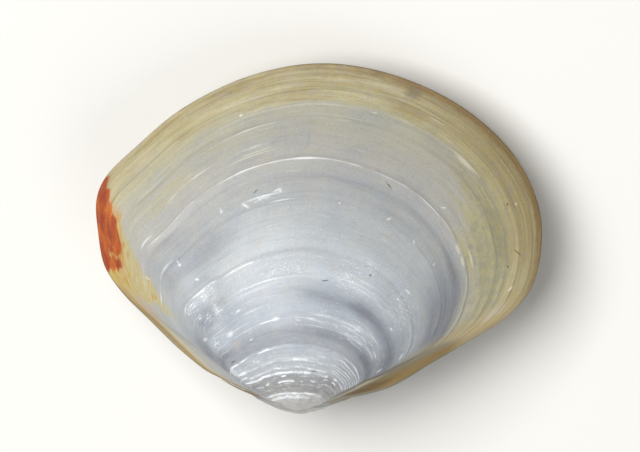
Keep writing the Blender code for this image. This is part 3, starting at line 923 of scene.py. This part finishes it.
# %% Grains and layers as nodes
def grain_nodes(tree, spots_of, turn):
    """Every grain of the table: noise on growth coordinates, stretched to its size in mm."""
    grains = {}
    for key, (length, width, slant, detail, shift) in GRAINS.items():
        spot = add(tree, "Mapping",
                   {"Vector": spots_of["flank_mm" if key == "comb" else "grown_mm"],
                    "Location": (turn + shift, shift, 0), "Rotation": (0, 0, math.radians(slant)),
                    "Scale": (length, width, 1)}, vector_type="TEXTURE")
        grains[key] = add(tree, "TexNoise", {"Vector": spot, "Scale": 1, "Detail": detail, "Roughness": .6})
    return grains


def lay(tree, colour, tint, total, start, full, cover):
    """Lay a tint over the colour so far: none where the total is at start, its cover at full."""
    covered = add(tree, "MapRange", {0: total, 1: start, 2: full, 4: cover}, interpolation_type="SMOOTHSTEP")
    return add(tree, "Mix", {0: covered, 6: colour, 7: tint}, out=2, data_type="RGBA"), covered


def lay_finishes(tree, colour, grains, places):
    """Lay every row of the table; hand back the colour and how dull the finish is."""
    dull = 0
    for tint, key, by, share, start, full, cover in LAYERS:
        if key is not None and key not in places:
            places[key] = add(tree, "Attribute", out=2, attribute_name=key)
        if tint in TINTS:
            source, steps = TINTS[tint]
            if source not in grains:
                grains[source] = add(tree, "Attribute", out=2, attribute_name=source)
            tint = add(tree, "ValToRGB", {"Fac": grains[source]}, stops=steps)
        total = add(tree, "Math", {0: grains[by], 1: share, 2: places.get(key, 0)}, operation="MULTIPLY_ADD")
        colour, covered = lay(tree, colour, tint, total, start + share / 2, full + share / 2, cover)
        if key in DULL_PLACES:
            dull = add(tree, "Math", {0: dull, 1: covered}, operation="MAXIMUM")
    return colour, dull


def lay_marks(tree, colour, place, speck):
    """Lay the marks, their edges made ragged by a fine grain."""
    ragged = add(tree, "Math", {0: speck, 1: 1.3, 2: -.65}, operation="MULTIPLY_ADD")
    for marks, tint, start, full, cover in MARK_KINDS:
        total = add(tree, "Math", {0: marked(tree, place, marks), 1: ragged}, operation="ADD")
        colour, _ = lay(tree, colour, tint, total, start, full, cover)
    return colour


print("dull finishes:", ", ".join(DULL_PLACES))

# %% [markdown]
# Aragonite has an index of about 1.53 to 1.69. Bare shell is satin; skin, chalk and rust are
# duller; the inside is pale. A very low bump gives the sheen its grain; every form is mesh.

# %% The shell material
SHELL_INDEX, SATIN, DULL = 1.55, .42, .68
SHADE_TINT, INSIDE_TINT = "#141310", "#e4ddd2"
BUMP_HEIGHT, BUMP_STRENGTH = .00004, .35  # m, and share


def shell_material(name, turn, marks=True):
    """Aragonite shell, worn clean towards the beak, with its skin left near the rim."""
    mat = bpy.data.materials.new(name)
    mat.use_nodes = True
    tree = mat.node_tree
    shader = tree.nodes["Principled BSDF"]
    spots_of = {key: add(tree, "Attribute", out=1, attribute_name=key) for key in ("grown_mm", "flank_mm")}
    grains = grain_nodes(tree, spots_of, turn)
    line_age = add(tree, "Attribute", out=2, attribute_name="line_age")
    places = line_nodes(tree, line_age)
    colour = add(tree, "ValToRGB", {"Fac": line_age}, stops=ZONES)
    colour, dull = lay_finishes(tree, colour, grains, places)
    if marks:
        colour = lay_marks(tree, colour, spots_of["grown_mm"], grains["speck"])
    for by, start, full, cover in SHADES:
        colour, _ = lay(tree, colour, SHADE_TINT, grains[by], start, full, cover)
    inside = add(tree, "Attribute", out=2, attribute_name="inside")
    colour = add(tree, "Mix", {0: inside, 6: colour, 7: INSIDE_TINT}, out=2, data_type="RGBA")
    tree.links.new(colour, shader.inputs["Base Color"])
    rough = add(tree, "MapRange", {0: dull, 3: SATIN, 4: DULL})
    tree.links.new(rough, shader.inputs["Roughness"])
    shader.inputs["IOR"].default_value = SHELL_INDEX
    fine = add(tree, "Math", {0: grains["radial"], 1: .35, 2: grains["hair"]}, operation="MULTIPLY_ADD")
    bump = add(tree, "Bump", {"Height": fine, "Distance": BUMP_HEIGHT, "Strength": BUMP_STRENGTH})
    tree.links.new(bump, shader.inputs["Normal"])
    print(name, "has", len(tree.nodes), "nodes")
    return mat


left.data.materials.append(shell_material("aragonite_shell_left", 0))
right.data.materials.append(shell_material("aragonite_shell_right", 57, marks=False))

# %% [markdown]
# ## The ligament
# A spring of dark horn behind the beaks, a short strip with round edges and fine wrinkles. A
# bevelled curve would do; an ellipse carried along the hinge line keeps all in one formula.

# %% Make the ligament
LIGAMENT_SPAN, LIGAMENT_CLEAR = (2.1, 7.3), .05  # mm behind the beak, mm off the furrow
LIGAMENT_HEIGHT, LIGAMENT_WIDTH = .14, .42  # mm
STRIP_STEP, ROUND_STEP = .07, .09  # mm from row to row and round it


def ligament_rows():
    """Centre line + lift outward + width across, tapered at the ends."""
    line = margin_at(np.linspace(0, .2, 400))
    reach = np.hypot(line[:, 0], line[:, 1])
    t, places = np.linspace(0, 1, 90), np.linspace(*LIGAMENT_SPAN, 90)
    centre = np.stack([np.interp(places, reach, line[:, k]) for k in (0, 1)], axis=1)
    outer = unit(np.gradient(centre, axis=0))[:, ::-1] * (-1, 1)
    around = np.linspace(0, 2 * np.pi, 40, endpoint=False)
    taper = np.sin(np.pi * (.01 + .98 * t)) ** .45
    wrinkle = 1 + .05 * grain(t[:, None] * 34, around[None, :] * 1.2, 90)
    half = .5 * LIGAMENT_HEIGHT * taper[:, None] * wrinkle
    lift = LIGAMENT_CLEAR - GROOVE_DEPTH + half * (1 + np.sin(around)[None, :])
    across = .5 * LIGAMENT_WIDTH * taper[:, None] * wrinkle * np.cos(around)[None, :]
    flat = centre[:, None, :] + lift[..., None] * outer[:, None, :]
    rows = np.concatenate([flat, across[..., None]], axis=-1)
    ends = rows.mean(axis=1, keepdims=True)
    return np.concatenate([np.broadcast_to(ends[:1], rows[:1].shape), rows,
                           np.broadcast_to(ends[-1:], rows[:1].shape)])


def make_ligament():
    """Close the rows to a strip whose two ends are single points."""
    rows = ligament_rows()
    count, cols = rows.shape[:2]
    index = np.arange(count * cols).reshape(count, cols)
    index[0], index[-1] = 0, index[-1, 0]
    wrap = np.concatenate([index, index[:, :1]], axis=1)
    quads = np.stack([wrap[:-1, :-1], wrap[:-1, 1:], wrap[1:, 1:], wrap[1:, :-1]], axis=-1).reshape(-1, 4)
    points = settle(rows, 1)
    quads, _ = outward(points, quads)
    along_mm = np.stack([np.broadcast_to(np.arange(count)[:, None] * STRIP_STEP, (count, cols)),
                         np.broadcast_to(np.arange(cols)[None, :] * ROUND_STEP, (count, cols)),
                         np.zeros((count, cols))], axis=-1)
    return make_mesh("ligament_strip", points, quads, {"strip_mm": along_mm})


ligament = make_ligament()

# %% [markdown]
# Dried horn is brown and satin, like a fingernail, with growth bands across it. They are about
# 0.2 mm wide and drawn at their real size.

# %% The horn material
HORN_BANDS = ((.3, "#5d4930"), (.55, "#8a7452"), (.75, "#ad9c78"))
HORN_ROUGHNESS = .45


def horn_material():
    """Dried horn, banded across the strip."""
    mat = bpy.data.materials.new("dried_horn")
    mat.use_nodes = True
    tree = mat.node_tree
    spot = add(tree, "Attribute", out=1, attribute_name="strip_mm")
    spot = add(tree, "Mapping", {"Vector": spot, "Scale": (6, .8, 1)})
    bands = add(tree, "TexNoise", {"Vector": spot, "Scale": 1, "Detail": 4})
    tint = add(tree, "ValToRGB", {"Fac": bands}, stops=HORN_BANDS)
    shader = tree.nodes["Principled BSDF"]
    tree.links.new(tint, shader.inputs["Base Color"])
    shader.inputs["Roughness"].default_value = HORN_ROUGHNESS
    return mat


ligament.data.materials.append(horn_material())
print("ligament is %.1f mm long" % (LIGAMENT_SPAN[1] - LIGAMENT_SPAN[0]))

# %% [markdown]
# ## Stand for the solids
# Each finished piece rides on the frame's one body and takes the place of its solid.

# %% Ride and stand for the solids
for piece, node, slot in ((left, "left_valve", "left_valve_shell"),
                          (right, "right_valve", "right_valve_shell"),
                          (ligament, "ligament", "ligament_horn")):
    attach(piece, "root")
    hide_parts(node)
    print(piece.name, "stands for", node)

# %% [markdown]
# ## Floor, camera and light
# A pale floor, one large soft lamp high on the left and a weak fill on the right. The camera
# looks almost straight down through a long lens, as for a specimen.

# %% Floor
bpy.ops.mesh.primitive_plane_add(size=3)
floor = bpy.context.object
floor.name = "floor"
board = bpy.data.materials.new("pale_board")
board.use_nodes = True
sockets = board.node_tree.nodes["Principled BSDF"].inputs
sockets["Base Color"].default_value, sockets["Roughness"].default_value = linear("#d9d7d2"), .9
floor.data.materials.append(board)
print("floor is %.0f m wide" % floor.dimensions.x)

# %% Camera
VIEW_PITCH, VIEW_ROLL = 7, -3.5  # degrees from the valve's middle plane to the view
FRAME_WIDTH = 57.54  # mm across the view
CENTRE = (2.07, 16.27, 3)  # mm from the hinge point to the middle of the view
CAMERA_AWAY, SENSOR = .8, 36  # m, mm
seen = (Matrix.Rotation(math.radians(VIEW_ROLL), 3, "Y")
        @ Matrix.Rotation(math.radians(-VIEW_PITCH), 3, "X"))
turned = REST_TURN @ seen.transposed()
aim = (turned @ Vector(CENTRE) + Vector(SHIFT)) * MM
camera = bpy.data.objects.new("camera", bpy.data.cameras.new("camera"))
bpy.context.scene.collection.objects.link(camera)
camera.rotation_euler = turned.to_euler()
camera.location = aim + turned @ Vector((0, 0, CAMERA_AWAY))
camera.data.sensor_width = SENSOR
camera.data.lens = SENSOR * CAMERA_AWAY / (FRAME_WIDTH * MM)
camera.data.clip_start, camera.data.clip_end = .01, 20
bpy.context.scene.camera = camera
print("camera turned", [round(math.degrees(a), 2) for a in camera.rotation_euler])

# %% Lamps
def lamp(name, place, size, power):
    """A square, white area lamp aimed at the shell."""
    light = bpy.data.lights.new(name, "AREA")
    light.size, light.energy = size, power
    item = bpy.data.objects.new(name, light)
    bpy.context.scene.collection.objects.link(item)
    item.location = place
    item.rotation_euler = (Vector(place) - Vector((0, 0, .008))).to_track_quat("Z", "Y").to_euler()
    print(name, "lamp is %.2f m away" % Vector(place).length)


lamp("key", (-.2, .12, .55), .45, 4.8)
lamp("fill", (.25, -.35, .4), .4, 1)
world = bpy.data.worlds.new("studio")
world.use_nodes = True
sockets = world.node_tree.nodes["Background"].inputs
sockets["Color"].default_value, sockets["Strength"].default_value = linear("#c9ccd0"), .35
bpy.context.scene.world = world
bpy.context.scene.view_settings.view_transform = "Standard"
